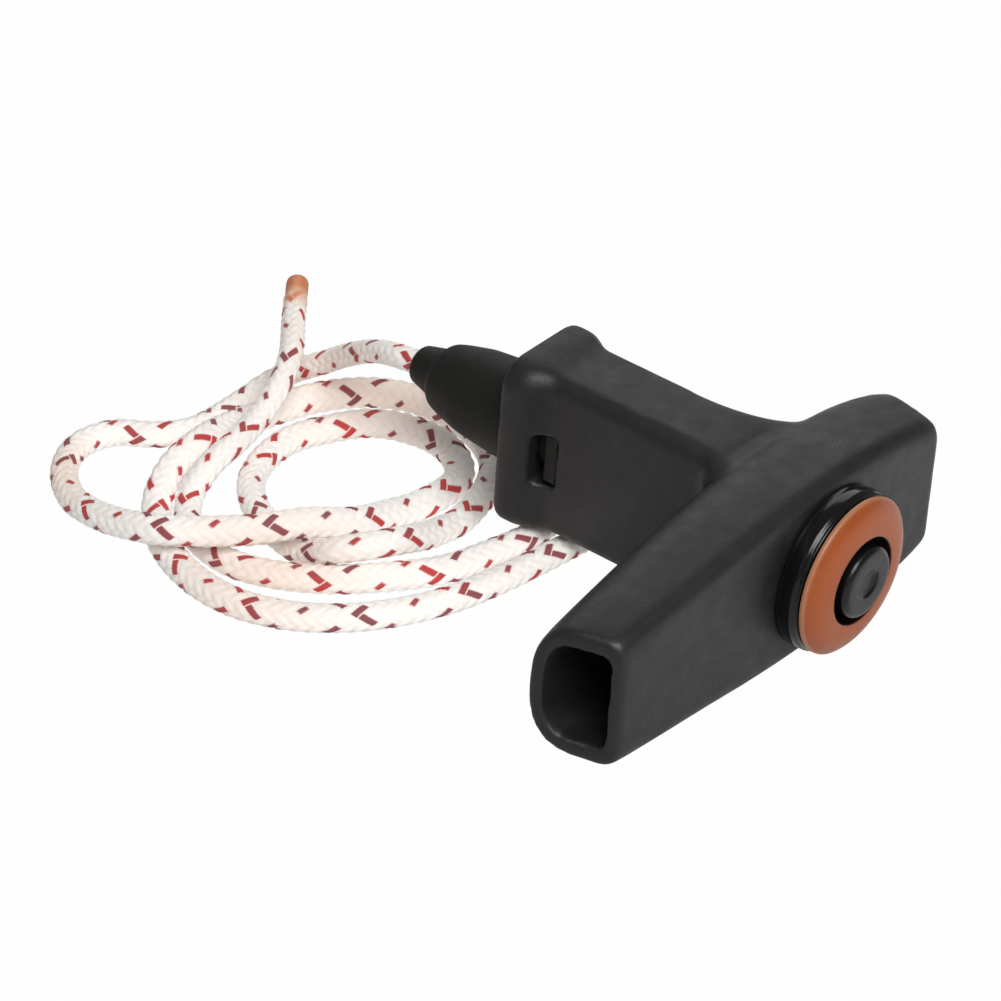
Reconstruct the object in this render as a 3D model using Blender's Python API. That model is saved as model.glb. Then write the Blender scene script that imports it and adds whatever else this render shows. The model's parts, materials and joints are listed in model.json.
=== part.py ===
"""Pull-start handle with its rope: a hollow moulded T-shaped grip, a rubbery rope guide in its
nose, a round end ring and stopper at its back, and the braided rope lying loose on the floor.

Units are metres and +Z is up. The handle is modelled in its own level frame, with the pull axis
along +Y, the back face at Y = 0 and the crossbar along X. An empty then sets it down on the
floor as it rests: on the lower back edge of its crossbar, with the nose a little up over the rope.
"""
import math

import bmesh
import bpy
import numpy as np
from mathutils import Vector

MM = 0.001

# Where the handle stands: the pull axis at the back face, over the middle of its bounding box
AXIS_X = 12.14 * MM
AXIS_Y = -38.42 * MM
NOSE_UP_ANGLE = math.radians(4.6)

# Play left between pieces that touch or sit in each other
SEAT_GAP = 0.3 * MM
# How far a cutter runs out past the face that it opens
CUT_OVERRUN = 4.0 * MM

# Crossbar: back edge at X, half height there, and reach towards the nose
WING_STATIONS = [
    (-55.5 * MM, 12.2 * MM, 15.7 * MM),
    (-43.0 * MM, 13.4 * MM, 17.1 * MM),
    (-30.0 * MM, 14.5 * MM, 18.4 * MM),
    (-16.0 * MM, 15.8 * MM, 19.2 * MM),
    (-1.3 * MM, 16.4 * MM, 19.4 * MM),
    (11.0 * MM, 15.9 * MM, 19.4 * MM),
    (21.0 * MM, 14.6 * MM, 18.9 * MM),
    (31.0 * MM, 12.4 * MM, 16.6 * MM),
]
WING_STEPS = 3
WING_END_SLANT = 0.25
WING_BACK_ROUND = 3.0 * MM
WING_FRONT_START = 6.0 * MM
WING_NEAR_END_POWER = 2.6
WING_MIDDLE_POWER = 3.6
WING_END_ROUND = 1.2 * MM

# Blind pockets that open at both ends of the crossbar
POCKET_BACK_WALL = 2.0 * MM
POCKET_FRONT_WALL = 2.5 * MM
POCKET_TOP_WALL = 3.3 * MM
POCKET_ROUND = 1.6 * MM
POCKET_DRAFT = 0.6 * MM
NEAR_POCKET_FLOOR_X = -17.5 * MM
FAR_POCKET_FLOOR_X = 17.5 * MM

# Neck, with a small fillet on its near side, a wide one on its far side, and a flared collar
NECK_HALF_WIDTH = 7.7 * MM
NECK_HALF_HEIGHT = 15.5 * MM
NECK_CORNER_ROUND = 2.8 * MM
NECK_ROOT_Y = 10.0 * MM
NEAR_FILLET_RADIUS = 2.5 * MM
NEAR_FILLET_START_Y = 19.0 * MM
FAR_FILLET_RADIUS = 14.0 * MM
FAR_FILLET_START_Y = 18.5 * MM
FILLET_CORNER_SHARE = 0.8
FILLET_SINK_SHARE = 0.05
NECK_SHANK_LENGTH = 19.0 * MM
FLARE_LENGTH = 6.0 * MM
COLLAR_RIM_LENGTH = 3.3 * MM
FLARE_OUT_X = 3.2 * MM
FLARE_OUT_Z = 0.75 * MM
FLARE_CORNER_SHARE = 0.7
COLLAR_EDGE_ROUND = 1.0 * MM

# Places along the neck that follow from its lengths
FLARE_START_Y = FAR_FILLET_START_Y + FAR_FILLET_RADIUS + NECK_SHANK_LENGTH
FLARE_END_Y = FLARE_START_Y + FLARE_LENGTH
COLLAR_FACE_Y = FLARE_END_Y + COLLAR_RIM_LENGTH

# Seat for the rope guide's flange, socket for its plug, and the channel behind
FLANGE_SEAT_DEPTH = 0.8 * MM
SOCKET_RADIUS = 6.5 * MM
SOCKET_DEPTH = 15.0 * MM
CHANNEL_RADIUS = 2.7 * MM

# Snap windows on both sides of the neck
WINDOW_BEHIND_FACE = 6.0 * MM
WINDOW_LENGTH = 4.4 * MM
WINDOW_LOW_Z = -5.6 * MM
WINDOW_HIGH_Z = 4.1 * MM
HOOK_LENGTH = 2.3 * MM
HOOK_TAIL_SLOT = 1.1 * MM
HOOK_SUNK = 0.1 * MM
WINDOW_FRONT_Y = COLLAR_FACE_Y - WINDOW_BEHIND_FACE
WINDOW_BACK_Y = WINDOW_FRONT_Y - WINDOW_LENGTH

# Rope guide: flange and steps of its nose, by distance out from the collar face and radius
NOSE_STEPS = [
    (0.0 * MM, 8.8 * MM),
    (4.8 * MM, 8.5 * MM),
    (9.6 * MM, 8.05 * MM),
    (12.4 * MM, 7.75 * MM),
    (17.6 * MM, 6.45 * MM),
    (19.0 * MM, 5.9 * MM),
    (19.8 * MM, 5.1 * MM),
    (20.2 * MM, 4.4 * MM),
    (22.6 * MM, 3.85 * MM),
    (24.6 * MM, 3.4 * MM),
    (25.1 * MM, 3.0 * MM),
]
GUIDE_LEAD_IN = 1.0 * MM

# Back end: recess, seat ring, end ring and stopper
RECESS_RADIUS = 9.6 * MM
RECESS_DEPTH = 4.0 * MM
STOPPER_WELL_DEPTH = 8.0 * MM
SEAT_RADIUS = 14.4 * MM
SEAT_BASE_THICKNESS = 2.0 * MM
SEAT_GROOVE_WIDTH = 0.5 * MM
SEAT_GROOVE_DEPTH = 0.6 * MM
SEAT_RIM_THICKNESS = 1.5 * MM
SEAT_EDGE_ROUND = 0.4 * MM
END_RING_RADIUS = 14.0 * MM
END_RING_RIM = 0.9 * MM
END_RING_HOLE_RADIUS = 7.8 * MM
END_RING_DOME = 1.9 * MM
END_RING_BEVEL = 0.3 * MM
STOPPER_RADIUS = 6.4 * MM
STOPPER_PROUD = 1.2 * MM
STOPPER_EDGE_ROUND = 0.7 * MM
DIMPLE_RADIUS = 2.6 * MM
DIMPLE_DEPTH = 0.7 * MM

# Rope, and its sealed end
ROPE_DIAMETER = 4.2 * MM
ROPE_IN_GUIDE = 8.0 * MM
TIP_DIAMETER = 4.0 * MM
TIP_LENGTH = 5.2 * MM
TIP_ROUND = 0.9 * MM
ROPE_WIDEST_STEP = 15.0 * MM
ROPE_TURN_PER_STEP = math.radians(44.0)

# Route of the rope over the floor, as X, Y and height of its middle in millimetres, measured
# from the point of the floor under the pull axis at the back face
ROPE_ROUTE_MM = [
    (0.5, 90, 22.4), (4, 98.5, 18.9), (7.3, 107.9, 13.3), (8.6, 115.3, 8.3), (6.9, 121.1, 5.1),
    (1.2, 124.4, 2.6), (-6.8, 124.4, 2.2), (-14.8, 124.9, 2.2), (-20.3, 128.9, 2.2),
    (-24.3, 134.9, 2.2), (-31.3, 136.9, 2.2), (-38.3, 133.9, 2.2), (-43.8, 127.9, 2.4),
    (-47.3, 120.4, 3), (-49.3, 110.9, 5), (-49.3, 102.4, 7), (-46.3, 95.9, 7.6), (-39.8, 87.9, 8),
    (-33.3, 83.4, 7.9), (-25.8, 79.9, 5.6), (-15.8, 78.9, 3), (-6.8, 77.4, 2.2), (0.2, 77.9, 2.2),
    (5.7, 81.9, 2.2), (8.7, 88.4, 2.2), (8.7, 95.4, 2.2), (6.2, 101.9, 2.2), (0.2, 106.4, 2.2),
    (-6.8, 109.4, 2.2), (-14.3, 108.9, 2.2), (-21.3, 105.9, 2.2), (-27.3, 99.9, 2.2),
    (-31.8, 91.4, 2.2), (-33.8, 84.4, 2.3), (-34.8, 79.9, 4), (-34.8, 75.4, 6.4),
    (-31.8, 71.4, 7.2), (-25.8, 68.9, 6.4), (-16.8, 68.9, 3.4), (-6.8, 69.9, 2.2),
    (1.7, 72.4, 2.2), (9.2, 76.9, 2.2), (14.7, 84.9, 2.2), (17.2, 93.4, 2.2), (17.2, 101.4, 2.2),
    (14.2, 108.4, 2.2), (8.2, 113.9, 2.2), (0.7, 117.4, 2.2), (-6.8, 118.9, 2.6),
    (-14.8, 117.9, 4.6), (-22.8, 115.9, 6.8), (-29.8, 115.9, 5.4), (-36.3, 113.9, 3),
    (-42.8, 108.4, 2.2), (-48.3, 100.4, 2.2), (-51.8, 91.4, 2.2), (-52.8, 82.4, 2.2),
    (-50.8, 73.9, 2.2), (-46.3, 66.4, 2.2), (-39.8, 60.4, 2.2), (-30.8, 55.4, 2.2),
    (-19.8, 52.4, 2.2), (-7.3, 50.4, 2.2), (5.2, 48.9, 2.2), (15.7, 47.9, 2.2), (22.7, 50.4, 2.2),
    (25.2, 55.4, 2.2), (21.2, 60.4, 2.2), (12.2, 60.4, 2.2), (2.7, 57.9, 2.2), (-5.3, 56.9, 2.2),
    (-13.3, 58.4, 2.2), (-22.8, 61.4, 2.2), (-29.8, 66.4, 2.2), (-37.8, 74.9, 2.2),
    (-42.3, 83.4, 2.2), (-43.8, 90.9, 2.2), (-42.3, 98.4, 2.2), (-38.8, 104.9, 2.2),
    (-33.3, 109.4, 3), (-26.8, 110.4, 6), (-19.8, 110.4, 7.4), (-11.8, 111.9, 8.2),
    (-5.3, 112.9, 11), (1.2, 115.9, 13), (10.2, 122.9, 14), (20.2, 130.4, 15),
]

# Faceting of the round pieces
RING_SEGMENTS = 64
GUIDE_SEGMENTS = 48
ROPE_BEVEL_RESOLUTION = 3


def clear_scene():
    for old in list(bpy.data.objects):
        bpy.data.objects.remove(old, do_unlink=True)


def make_material(name, color, roughness, metallic=0.0):
    material = bpy.data.materials.new(name)
    material.use_nodes = True
    shader = material.node_tree.nodes["Principled BSDF"]
    shader.inputs["Base Color"].default_value = (*color, 1.0)
    shader.inputs["Roughness"].default_value = roughness
    shader.inputs["Metallic"].default_value = metallic
    return material


def object_from_bmesh(name, mesh_data, material, parent):
    bmesh.ops.recalc_face_normals(mesh_data, faces=mesh_data.faces)
    mesh = bpy.data.meshes.new(name)
    mesh_data.to_mesh(mesh)
    mesh_data.free()
    mesh.shade_smooth()
    mesh.set_sharp_from_angle(angle=math.radians(32.0))
    built = bpy.data.objects.new(name, mesh)
    bpy.context.scene.collection.objects.link(built)
    if material:
        mesh.materials.append(material)
    built.parent = parent
    return built


def loft(name, rings, material, parent):
    """A closed solid through a row of rings, which all have as many points."""
    mesh_data = bmesh.new()
    loops = [[mesh_data.verts.new(point) for point in ring] for ring in rings]
    for low, high in zip(loops, loops[1:]):
        for index in range(len(low)):
            following = (index + 1) % len(low)
            mesh_data.faces.new((low[index], low[following], high[following], high[index]))
    mesh_data.faces.new(loops[0])
    mesh_data.faces.new(loops[-1])
    return object_from_bmesh(name, mesh_data, material, parent)


def turned(name, profile, segments, material, parent, solid=False):
    """A closed form turned about the pull axis, from (radius, Y) points of its section.

    The section of a ring is a closed outline. A solid form's section is open, and the flat
    ends that it leaves are filled.
    """
    mesh_data = bmesh.new()
    verts = [mesh_data.verts.new((0.0, y, radius)) for radius, y in profile]
    ends = zip(verts, verts[1:]) if solid else zip(verts, verts[1:] + verts[:1])
    edges = [mesh_data.edges.new(pair) for pair in ends]
    bmesh.ops.spin(
        mesh_data, geom=verts + edges, cent=(0, 0, 0), axis=(0, 1, 0),
        angle=2 * math.pi, steps=segments, use_merge=True)
    bmesh.ops.remove_doubles(mesh_data, verts=mesh_data.verts, dist=1e-6)
    if solid:
        rims = [edge for edge in mesh_data.edges if edge.is_boundary]
        bmesh.ops.holes_fill(mesh_data, edges=rims, sides=segments)
    return object_from_bmesh(name, mesh_data, material, parent)


def block(name, low, high, parent):
    rings = []
    for y in (low[1], high[1]):
        rings.append([
            (low[0], y, low[2]), (high[0], y, low[2]), (high[0], y, high[2]), (low[0], y, high[2])])
    return loft(name, rings, None, parent)


def combine(target, tool, operation):
    """Join or cut the target with a hidden tool object, by a live Boolean modifier."""
    modifier = target.modifiers.new(f"{operation.title()} {tool.name}", "BOOLEAN")
    modifier.operation = operation
    modifier.object = tool
    modifier.solver = "EXACT"
    tool.hide_render = True
    tool.display_type = "WIRE"


def smooth_curve(points, steps):
    """Centripetal Catmull-Rom curve through the points, with this many steps to each span."""
    points = np.asarray(points, dtype=float)
    before = 2 * points[0] - points[1]
    after = 2 * points[-1] - points[-2]
    padded = np.vstack([before, points, after])
    curve = []
    for first in range(len(points) - 1):
        p0, p1, p2, p3 = padded[first:first + 4]
        t1 = math.sqrt(np.linalg.norm(p1 - p0))
        t2 = t1 + math.sqrt(np.linalg.norm(p2 - p1))
        t3 = t2 + math.sqrt(np.linalg.norm(p3 - p2))
        for t in np.linspace(t1, t2, steps, endpoint=False):
            a1 = ((t1 - t) * p0 + t * p1) / t1
            a2 = ((t2 - t) * p1 + (t - t1) * p2) / (t2 - t1)
            a3 = ((t3 - t) * p2 + (t - t2) * p3) / (t3 - t2)
            b1 = ((t2 - t) * a1 + t * a2) / t2
            b2 = ((t3 - t) * a2 + (t - t1) * a3) / (t3 - t1)
            curve.append(((t2 - t) * b1 + (t - t1) * b2) / (t2 - t1))
    curve.append(points[-1])
    return np.array(curve)


def arc(center, radius, start, end, steps):
    """Points of a round corner, from one angle to another in degrees."""
    angles = np.radians(np.linspace(start, end, steps + 1))
    return [(center[0] + radius * math.cos(a), center[1] + radius * math.sin(a)) for a in angles]


def front_power(x):
    """How square the crossbar's front is at X: rounder towards the end of its near wing."""
    near_end = WING_STATIONS[0][0]
    return float(np.interp(x, (near_end, 0.0), (WING_NEAR_END_POWER, WING_MIDDLE_POWER)))


def crossbar_half_height(x):
    stations = smooth_curve(WING_STATIONS, WING_STEPS)
    return float(np.interp(x, stations[:, 0], stations[:, 1]))


def grip_outline(half_height, depth, back_round, front, back_y=0.0):
    """D-shaped (Y, Z) outline: flat back with round edges, and a full round front."""
    edge = half_height - back_round
    outline = arc((back_y + back_round, -edge), back_round, 180, 270, 4)
    front_start = back_y + WING_FRONT_START
    power = 2 / front
    for angle in np.radians(np.linspace(-90, 90, 23)):
        reach = abs(math.cos(angle)) ** power
        rise = math.copysign(abs(math.sin(angle)) ** power, math.sin(angle))
        outline.append((front_start + (depth - front_start) * reach, half_height * rise))
    outline += arc((back_y + back_round, edge), back_round, 90, 180, 4)
    return outline


def slanted_ring(x, outline):
    """Place a (Y, Z) outline at X, leaning with the slanted end on that side."""
    end = WING_STATIONS[0][0] if x < 0 else WING_STATIONS[-1][0]
    lean = WING_END_SLANT * x / abs(end)
    return [(x + lean * y, y, z) for y, z in outline]


def crossbar_rings():
    """Rings of the crossbar from end to end, with round rims on both end faces."""
    stations = smooth_curve(WING_STATIONS, WING_STEPS)
    rings = []
    inset_steps = [(0.0, 1.0), (0.3, 0.3), (1.0, 0.0)]
    for index, (x, half_height, depth) in enumerate(stations):
        at_end = index in (0, len(stations) - 1)
        front = front_power(x)
        if not at_end:
            outline = grip_outline(half_height, depth, WING_BACK_ROUND, front)
            rings.append(slanted_ring(x, outline))
            continue
        inward = 1 if index == 0 else -1
        rim = []
        for along, share in inset_steps:
            inset = share * WING_END_ROUND
            shifted = x + inward * along * WING_END_ROUND
            outline = grip_outline(
                half_height - inset, depth - inset, WING_BACK_ROUND - inset, front, inset)
            rim.append(slanted_ring(shifted, outline))
        rings += rim if index == 0 else rim[::-1]
    return rings


def pocket_rings(station, floor_x):
    """Rings of a blind pocket, from outside the crossbar's open end to the pocket's floor."""
    end_x, half_height, depth = station
    mouth_x = end_x + math.copysign(CUT_OVERRUN, end_x)
    rings = []
    for x, shrink in ((mouth_x, 0.0), (floor_x, POCKET_DRAFT)):
        outline = grip_outline(
            half_height - POCKET_TOP_WALL - shrink,
            depth - POCKET_FRONT_WALL - shrink,
            POCKET_ROUND,
            front_power(end_x),
            POCKET_BACK_WALL + shrink)
        rings.append(slanted_ring(x, outline))
    return rings


def neck_ring(y, near_out, far_out, height_out=0.0, near_corner=0.0, far_corner=0.0):
    """Rectangle with round corners, at right angles to the pull axis, at Y.

    Its sides, and its top and bottom, stand out from the plain neck by the distances given,
    and its corners are rounder than the neck's by near_corner and far_corner. Where it is
    wider than the neck it gets lower with the crossbar.
    """
    half_height = NECK_HALF_HEIGHT + height_out
    corners = (
        (1, 1, far_out, far_corner, 0), (-1, 1, near_out, near_corner, 90),
        (-1, -1, near_out, near_corner, 180), (1, -1, far_out, far_corner, 270))
    ring = []
    for side, up, out, rounder, start in corners:
        radius = NECK_CORNER_ROUND + rounder
        center = (side * (NECK_HALF_WIDTH + out - radius), up * (half_height - radius))
        ring += [(x, y, z) for x, z in arc(center, radius, start, start + 90, 6)]
    return ring


def lowered(ring):
    """The same ring, lower beyond the neck's sides in step with the crossbar."""
    full = crossbar_half_height(NECK_HALF_WIDTH)
    lower = []
    for x, y, z in ring:
        beyond = crossbar_half_height(x) if abs(x) > NECK_HALF_WIDTH else full
        lower.append((x, y, z * min(beyond / full, 1.0)))
    return lower


def fillet_out(y, start_y, radius):
    """How far a fillet of this radius stands out from the neck's side at Y."""
    left = min(max(start_y + radius - y, 0.0), radius)
    return radius - math.sqrt(radius ** 2 - left ** 2)


def neck_rings():
    """Rings of the neck: fillets out of the crossbar, plain shank, and the flared collar."""
    stations = [NECK_ROOT_Y]
    for start_y, radius, steps in (
            (FAR_FILLET_START_Y, FAR_FILLET_RADIUS, 12),
            (NEAR_FILLET_START_Y, NEAR_FILLET_RADIUS, 5)):
        for angle in np.linspace(0, math.pi / 2, steps):
            stations.append(start_y + radius * (1 - math.cos(angle)))
    rings = []
    for y in sorted(stations):
        near_out = fillet_out(y, NEAR_FILLET_START_Y, NEAR_FILLET_RADIUS)
        far_out = fillet_out(y, FAR_FILLET_START_Y, FAR_FILLET_RADIUS)
        rings.append(lowered(neck_ring(
            y, near_out, far_out, -FILLET_SINK_SHARE * far_out,
            FILLET_CORNER_SHARE * near_out, FILLET_CORNER_SHARE * far_out)))
    for share in np.linspace(0, 1, 7):
        rise = share * share * (3 - 2 * share)
        y = FLARE_START_Y + share * (FLARE_END_Y - FLARE_START_Y)
        out = rise * FLARE_OUT_X
        corner = FLARE_CORNER_SHARE * out
        rings.append(neck_ring(y, out, out, rise * FLARE_OUT_Z, corner, corner))
    for angle in np.radians(np.linspace(0, 90, 4)):
        inset = COLLAR_EDGE_ROUND * (1 - math.cos(angle))
        y = COLLAR_FACE_Y - COLLAR_EDGE_ROUND * (1 - math.sin(angle))
        out = FLARE_OUT_X - inset
        corner = FLARE_CORNER_SHARE * FLARE_OUT_X - inset
        rings.append(neck_ring(y, out, out, FLARE_OUT_Z - inset, corner, corner))
    return rings


def bore_profile():
    """Everything bored along the pull axis, from the end ring's recess to the flange's seat."""
    well_radius = STOPPER_RADIUS + SEAT_GAP
    socket_floor = COLLAR_FACE_Y - SOCKET_DEPTH
    flange_floor = COLLAR_FACE_Y - FLANGE_SEAT_DEPTH
    flange_radius = NOSE_STEPS[0][1] + SEAT_GAP
    return [
        (RECESS_RADIUS, -CUT_OVERRUN), (RECESS_RADIUS, RECESS_DEPTH),
        (well_radius, RECESS_DEPTH), (well_radius, STOPPER_WELL_DEPTH),
        (CHANNEL_RADIUS, STOPPER_WELL_DEPTH), (CHANNEL_RADIUS, socket_floor),
        (SOCKET_RADIUS, socket_floor), (SOCKET_RADIUS, flange_floor),
        (flange_radius, flange_floor), (flange_radius, COLLAR_FACE_Y + CUT_OVERRUN),
    ]


def build_grip(material, parent):
    """One moulding: crossbar, neck and collar, with its pockets, socket and windows."""
    grip = loft("grip_body", crossbar_rings(), material, parent)
    combine(grip, loft("neck_form", neck_rings(), None, parent), "UNION")
    near_pocket = pocket_rings(WING_STATIONS[0], NEAR_POCKET_FLOOR_X)
    far_pocket = pocket_rings(WING_STATIONS[-1], FAR_POCKET_FLOOR_X)
    combine(grip, loft("near_pocket_cut", near_pocket, None, parent), "DIFFERENCE")
    combine(grip, loft("far_pocket_cut", far_pocket, None, parent), "DIFFERENCE")
    bore = turned("bore_cut", bore_profile(), GUIDE_SEGMENTS, None, parent, solid=True)
    combine(grip, bore, "DIFFERENCE")
    for side in (-1, 1):
        outer = side * (NECK_HALF_WIDTH + FLARE_OUT_X + CUT_OVERRUN)
        inner = side * SOCKET_RADIUS * 0.5
        low = (min(outer, inner), WINDOW_BACK_Y, WINDOW_LOW_Z)
        high = (max(outer, inner), WINDOW_FRONT_Y, WINDOW_HIGH_Z)
        window = block(f"window_cut_{'near' if side < 0 else 'far'}", low, high, parent)
        combine(grip, window, "DIFFERENCE")
    return grip


def build_rope_guide(material, parent):
    """Rubbery guide: a plug with two snap hooks in the neck, and the tapering nose outside."""
    bore = ROPE_DIAMETER / 2 + SEAT_GAP
    plug = SOCKET_RADIUS - SEAT_GAP
    plug_end = COLLAR_FACE_Y - SOCKET_DEPTH + SEAT_GAP
    nose_back = COLLAR_FACE_Y - FLANGE_SEAT_DEPTH + SEAT_GAP
    profile = [
        (bore, plug_end), (plug - GUIDE_LEAD_IN, plug_end), (plug, plug_end + GUIDE_LEAD_IN),
        (plug, nose_back)]
    profile.append((NOSE_STEPS[0][1], nose_back))
    profile += [(radius, COLLAR_FACE_Y + out) for out, radius in NOSE_STEPS]
    profile.append((bore, COLLAR_FACE_Y + NOSE_STEPS[-1][0]))
    guide = turned("nose_guide", profile, GUIDE_SEGMENTS, material, parent)
    for side in (-1, 1):
        outer = side * (NECK_HALF_WIDTH - HOOK_SUNK)
        inner = side * (plug - 1.5 * MM)
        low = (min(outer, inner), WINDOW_BACK_Y + SEAT_GAP, WINDOW_LOW_Z + HOOK_TAIL_SLOT)
        high = (max(outer, inner), WINDOW_BACK_Y + SEAT_GAP + HOOK_LENGTH, WINDOW_HIGH_Z - SEAT_GAP)
        hook = block(f"hook_form_{'near' if side < 0 else 'far'}", low, high, parent)
        combine(guide, hook, "UNION")
    return guide


def build_back_end(seat_material, ring_material, stopper_material, parent):
    """Seat ring, end ring and stopper, each seated in the one before it."""
    seat_front = -SEAT_GAP
    groove_front = seat_front - SEAT_BASE_THICKNESS
    groove_back = groove_front - SEAT_GROOVE_WIDTH
    seat_back = groove_back - SEAT_RIM_THICKNESS
    groove_floor = SEAT_RADIUS - SEAT_GROOVE_DEPTH
    spigot = RECESS_RADIUS - SEAT_GAP
    hole = STOPPER_RADIUS + SEAT_GAP
    seat = turned("seat_ring", [
        (hole, seat_back), (SEAT_RADIUS - SEAT_EDGE_ROUND, seat_back),
        (SEAT_RADIUS, seat_back + SEAT_EDGE_ROUND), (SEAT_RADIUS, groove_back),
        (groove_floor, groove_back), (groove_floor, groove_front),
        (SEAT_RADIUS, groove_front), (SEAT_RADIUS, seat_front - SEAT_EDGE_ROUND),
        (SEAT_RADIUS - SEAT_EDGE_ROUND, seat_front), (spigot, seat_front),
        (spigot, RECESS_DEPTH - SEAT_GAP), (hole, RECESS_DEPTH - SEAT_GAP),
    ], RING_SEGMENTS, seat_material, parent)
    ring_front = seat_back - SEAT_GAP
    rim_y = ring_front - END_RING_RIM
    crown_y = rim_y - END_RING_DOME
    dome = []
    for angle in np.radians(np.linspace(0, 90, 7)):
        rise = math.sin(angle) ** 0.85
        reach = 1 - math.cos(angle)
        radius = END_RING_RADIUS - END_RING_BEVEL
        radius -= (radius - END_RING_HOLE_RADIUS - END_RING_BEVEL) * reach
        dome.append((radius, rim_y - END_RING_DOME * rise))
    ring = turned("end_ring", [
        (END_RING_HOLE_RADIUS, ring_front), (END_RING_RADIUS - END_RING_BEVEL, ring_front),
        (END_RING_RADIUS, ring_front - END_RING_BEVEL), (END_RING_RADIUS, rim_y + END_RING_BEVEL),
    ] + dome + [(END_RING_HOLE_RADIUS, crown_y + END_RING_BEVEL)],
        RING_SEGMENTS, ring_material, parent)
    face_y = crown_y - STOPPER_PROUD
    back_edge = [(STOPPER_RADIUS - STOPPER_EDGE_ROUND, face_y),
                 (STOPPER_RADIUS - 0.3 * STOPPER_EDGE_ROUND, face_y + 0.3 * STOPPER_EDGE_ROUND),
                 (STOPPER_RADIUS, face_y + STOPPER_EDGE_ROUND)]
    well_end = STOPPER_WELL_DEPTH - SEAT_GAP
    rope_hole = ROPE_DIAMETER / 2 + SEAT_GAP
    stopper = turned("rope_stopper", [
        (0.5 * DIMPLE_RADIUS, face_y + DIMPLE_DEPTH),
        (0.8 * DIMPLE_RADIUS, face_y + 0.7 * DIMPLE_DEPTH), (DIMPLE_RADIUS, face_y),
    ] + back_edge + [
        (STOPPER_RADIUS, well_end), (rope_hole, well_end), (rope_hole, 0.0),
    ], GUIDE_SEGMENTS, stopper_material, parent, solid=True)
    return seat, ring, stopper


def nose_point(distance):
    """World point on the pull axis at a distance from the back face, as the handle rests."""
    return Vector((
        AXIS_X,
        AXIS_Y + distance * math.cos(NOSE_UP_ANGLE),
        rest_height() + distance * math.sin(NOSE_UP_ANGLE)))


def rest_height():
    """Height of the pull axis over the floor, with the crossbar's lower back edge on it."""
    half_height = max(station[1] for station in WING_STATIONS)
    edge_drop = (half_height - WING_BACK_ROUND) * math.cos(NOSE_UP_ANGLE)
    edge_rise = WING_BACK_ROUND * math.sin(NOSE_UP_ANGLE)
    return edge_drop + WING_BACK_ROUND - edge_rise


def spaced(curve, widest, turn):
    """Points along a fine curve, closer together where it bends, with both ends kept."""
    steps = np.diff(curve, axis=0)
    lengths = np.linalg.norm(steps, axis=1)
    headings = steps / lengths[:, None]
    bends = np.arccos(np.clip(np.sum(headings[1:] * headings[:-1], axis=1), -1, 1))
    bends = np.concatenate([bends, [0.0]])
    budget = np.concatenate([[0.0], np.cumsum(lengths / widest + bends / turn)])
    marks = np.linspace(0, budget[-1], int(round(budget[-1])) + 1)
    return np.stack([np.interp(marks, budget, curve[:, axis]) for axis in range(3)], axis=1)


def build_rope(rope_material, tip_material):
    """The rope from inside its guide to its sealed end, and the sealed end itself."""
    nose_end = COLLAR_FACE_Y + NOSE_STEPS[-1][0]
    inside = [nose_point(nose_end - ROPE_IN_GUIDE), nose_point(nose_end)]
    route = [Vector((AXIS_X + x * MM, AXIS_Y + y * MM, z * MM)) for x, y, z in ROPE_ROUTE_MM]
    curve = smooth_curve([tuple(point) for point in inside + route], 24)
    points = spaced(curve, ROPE_WIDEST_STEP, ROPE_TURN_PER_STEP)
    end = Vector(points[-1])
    heading = (end - Vector(points[-2])).normalized()
    points[-1] = end - heading * (TIP_LENGTH + SEAT_GAP)

    curve_data = bpy.data.curves.new("rope", "CURVE")
    curve_data.dimensions = "3D"
    curve_data.bevel_depth = ROPE_DIAMETER / 2
    curve_data.bevel_resolution = ROPE_BEVEL_RESOLUTION
    curve_data.use_fill_caps = True
    spline = curve_data.splines.new("POLY")
    spline.points.add(len(points) - 1)
    for target, point in zip(spline.points, points):
        target.co = (*point, 1.0)
    curve_data.materials.append(rope_material)
    rope = bpy.data.objects.new("rope", curve_data)
    bpy.context.scene.collection.objects.link(rope)

    radius = TIP_DIAMETER / 2
    rounding = [(r, y) for y, r in arc((TIP_LENGTH - TIP_ROUND, radius - TIP_ROUND), TIP_ROUND, 90, 0, 3)]
    tip = turned("sealed_rope_tip", [(radius, 0.0)] + rounding, 16, tip_material, None, solid=True)
    tip.rotation_mode = "QUATERNION"
    tip.rotation_quaternion = heading.to_track_quat("Y", "Z")
    tip.location = end - heading * TIP_LENGTH
    return rope, tip


def main():
    clear_scene()
    stand = bpy.data.objects.new("handle_stand", None)
    bpy.context.scene.collection.objects.link(stand)
    stand.location = (AXIS_X, AXIS_Y, rest_height())
    stand.rotation_euler = (NOSE_UP_ANGLE, 0.0, 0.0)

    build_grip(make_material("grip_plastic", (0.045, 0.045, 0.046), 0.55), stand)
    build_rope_guide(make_material("guide_rubber", (0.026, 0.026, 0.022), 0.6), stand)
    build_back_end(
        make_material("seat_plastic", (0.008, 0.008, 0.009), 0.18),
        make_material("ring_plastic", (0.50, 0.125, 0.05), 0.32),
        make_material("stopper_plastic", (0.03, 0.03, 0.033), 0.25),
        stand)
    build_rope(
        make_material("rope_yarn", (0.93, 0.90, 0.85), 0.8),
        make_material("sealed_yarn", (0.70, 0.30, 0.10), 0.45))


main()
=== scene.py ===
"""Looks of a pull-start handle with its braided rope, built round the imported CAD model.

Run as a script it models every visible piece, lights them on a pale floor and sets the camera.
Lengths are metres, +Z is up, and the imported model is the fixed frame.
"""

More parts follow.
